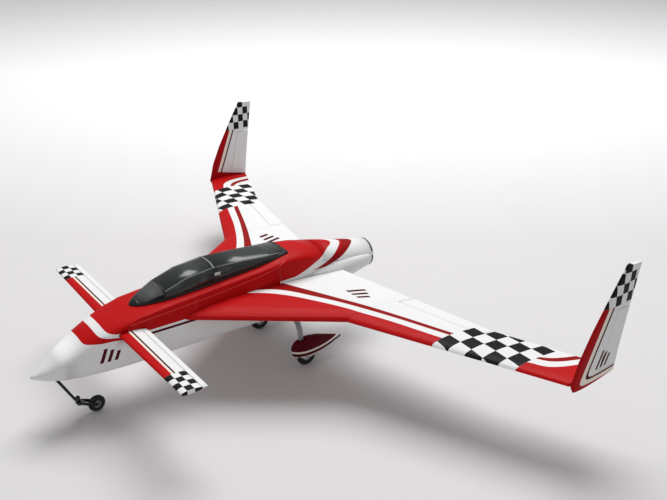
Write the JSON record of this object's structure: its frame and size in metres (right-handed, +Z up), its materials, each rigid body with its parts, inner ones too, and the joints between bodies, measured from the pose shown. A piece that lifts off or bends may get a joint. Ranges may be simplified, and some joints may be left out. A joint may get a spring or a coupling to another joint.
{
  "type": "balsa model glider",
  "caption": "Painted balsa scale glider of a canard aircraft: swept wings with winglets, hinged smoked canopy, retracting nose leg and wheels in streamlined pants.",
  "frame": {"origin": "on the floor under the wheels, at the bottom centre of the box around the model", "axes": "+X to the port wing tip, nose towards -Y, +Z up"},
  "size_m": [1.0234, 0.68, 0.2887],
  "materials": {
    "white_paint": "gloss white paint over sheeted balsa",
    "red_paint": "gloss red paint over balsa",
    "maroon_paint": "gloss dark red paint over balsa",
    "ply": "bare birch plywood",
    "lead": "dull grey cast lead",
    "dark_plastic": "satin black",
    "seat_foam": "dark foam",
    "grey_frame": "satin grey moulded frame",
    "smoked_sheet": "dark smoked clear sheet",
    "latch_grey": "light grey",
    "grey_metal": "satin aluminium",
    "gear_laminate": "grey glass-fibre laminate",
    "dark_metal": "dark grey anodised",
    "steel_wire": "bright music wire",
    "black_rubber": "matt black rubber"
  },
  "bodies": {
    "airframe": {"aileron_wire_port": "steel_wire", "aileron_wire_starboard": "steel_wire", "canard": "white_paint", "canopy_hinge_front": "grey_metal", "canopy_hinge_pin": "steel_wire", "canopy_hinge_rear": "grey_metal", "cheek_port": "white_paint", "cheek_starboard": "white_paint", "cockpit_tray": "ply", "cowl_lower": "white_paint", "cowl_upper": "white_paint", "firewall": "ply", "front_seat": "seat_foam", "fuselage_shell": "white_paint", "gear_block": "ply", "gear_bow": "gear_laminate", "instrument_panel": "dark_plastic", "joiner_front": "steel_wire", "joiner_rear": "steel_wire", "main_axle_port": "steel_wire", "main_axle_starboard": "steel_wire", "nose_ballast": "lead", "nose_block": "white_paint", "nose_former": "ply", "nose_gear_bracket": "grey_metal", "nose_gear_pin": "steel_wire", "outer_joiner_port": "steel_wire", "outer_joiner_starboard": "steel_wire", "rear_seat": "seat_foam", "strake_port": "red_paint", "strake_starboard": "red_paint", "tail_disc": "white_paint", "tail_ring": "dark_plastic", "wheel_pant_port": "maroon_paint", "wheel_pant_starboard": "maroon_paint", "wing_port": "white_paint", "wing_starboard": "white_paint", "winglet_port": "white_paint", "winglet_starboard": "white_paint"},
    "canopy": {"canopy_frame": "grey_frame", "windscreen_pane": "smoked_sheet", "canopy_pane_front": "smoked_sheet", "canopy_pane_rear": "smoked_sheet"},
    "latch": {"canopy_latch": "latch_grey"},
    "elevators": {"elevator_port": "white_paint", "elevator_starboard": "white_paint", "elevator_rod": "steel_wire"},
    "aileron_port": {"aileron_port": "white_paint"},
    "aileron_starboard": {"aileron_starboard": "white_paint"},
    "rudder_port": {"rudder_port": "white_paint"},
    "rudder_starboard": {"rudder_starboard": "white_paint"},
    "nose_leg": {"nose_leg": "dark_metal"},
    "caster": {"caster_fork": "grey_metal", "nose_axle": "steel_wire"},
    "nose_wheel": {"nose_tyre": "black_rubber", "nose_hub": "grey_metal"},
    "main_wheel_port": {"main_tyre_port": "black_rubber", "main_hub_port": "grey_metal"},
    "main_wheel_starboard": {"main_tyre_starboard": "black_rubber", "main_hub_starboard": "grey_metal"}
  },
  "joints": [
    {"name": "canopy_hinge", "type": "hinge", "parent": "airframe", "child": "canopy", "pos_m": [-0.0345, -0.05, 0.1752], "axis": [0, -0.9962, -0.0872], "range_deg": [0, 85]},
    {"name": "latch_turn", "type": "hinge", "parent": "canopy", "child": "latch", "pos_m": [0.0313, -0.048, 0.188], "axis": [1, 0, 0], "range_deg": [0, 90]},
    {"name": "elevator_hinge", "type": "hinge", "parent": "airframe", "child": "elevators", "pos_m": [0, -0.1805, 0.13865], "axis": [1, 0, 0], "range_deg": [-20, 25]},
    {"name": "aileron_port_hinge", "type": "hinge", "parent": "airframe", "child": "aileron_port", "pos_m": [0.193, 0.19149, 0.13253], "axis": [0.9711, 0.2378, -0.0184], "range_deg": [-20, 20]},
    {"name": "aileron_starboard_hinge", "type": "hinge", "parent": "airframe", "child": "aileron_starboard", "pos_m": [-0.193, 0.19149, 0.13253], "axis": [0.9711, -0.2378, 0.0184], "range_deg": [-20, 20]},
    {"name": "rudder_port_hinge", "type": "hinge", "parent": "airframe", "child": "rudder_port", "pos_m": [0.50505, 0.2835, 0.1375], "axis": [-0.0246, -0.2356, -0.9715], "range_deg": [0, 30]},
    {"name": "rudder_starboard_hinge", "type": "hinge", "parent": "airframe", "child": "rudder_starboard", "pos_m": [-0.50505, 0.2835, 0.1375], "axis": [-0.0246, 0.2356, 0.9715], "range_deg": [0, 30]},
    {"name": "nose_leg_retract", "type": "hinge", "parent": "airframe", "child": "nose_leg", "pos_m": [0, -0.3135, 0.0945], "axis": [1, 0, 0], "range_deg": [0, 32]},
    {"name": "caster_swivel", "type": "hinge", "parent": "nose_leg", "child": "caster", "pos_m": [0, -0.2763, 0.0309], "axis": [0, 0, 1], "range_deg": [-35, 35]},
    {"name": "nose_wheel_spin", "type": "hinge", "parent": "caster", "child": "nose_wheel", "pos_m": [0, -0.2485, 0.0134], "axis": [1, 0, 0], "continuous": true},
    {"name": "main_wheel_port_spin", "type": "hinge", "parent": "airframe", "child": "main_wheel_port", "pos_m": [0.0745, 0.0887, 0.018], "axis": [1, 0, 0], "continuous": true},
    {"name": "main_wheel_starboard_spin", "type": "hinge", "parent": "airframe", "child": "main_wheel_starboard", "pos_m": [-0.0745, 0.0887, 0.018], "axis": [1, 0, 0], "continuous": true}
  ],
  "couplings": [
    {"joint": "aileron_starboard_hinge", "follows": "aileron_port_hinge", "ratio": -1}
  ]
}
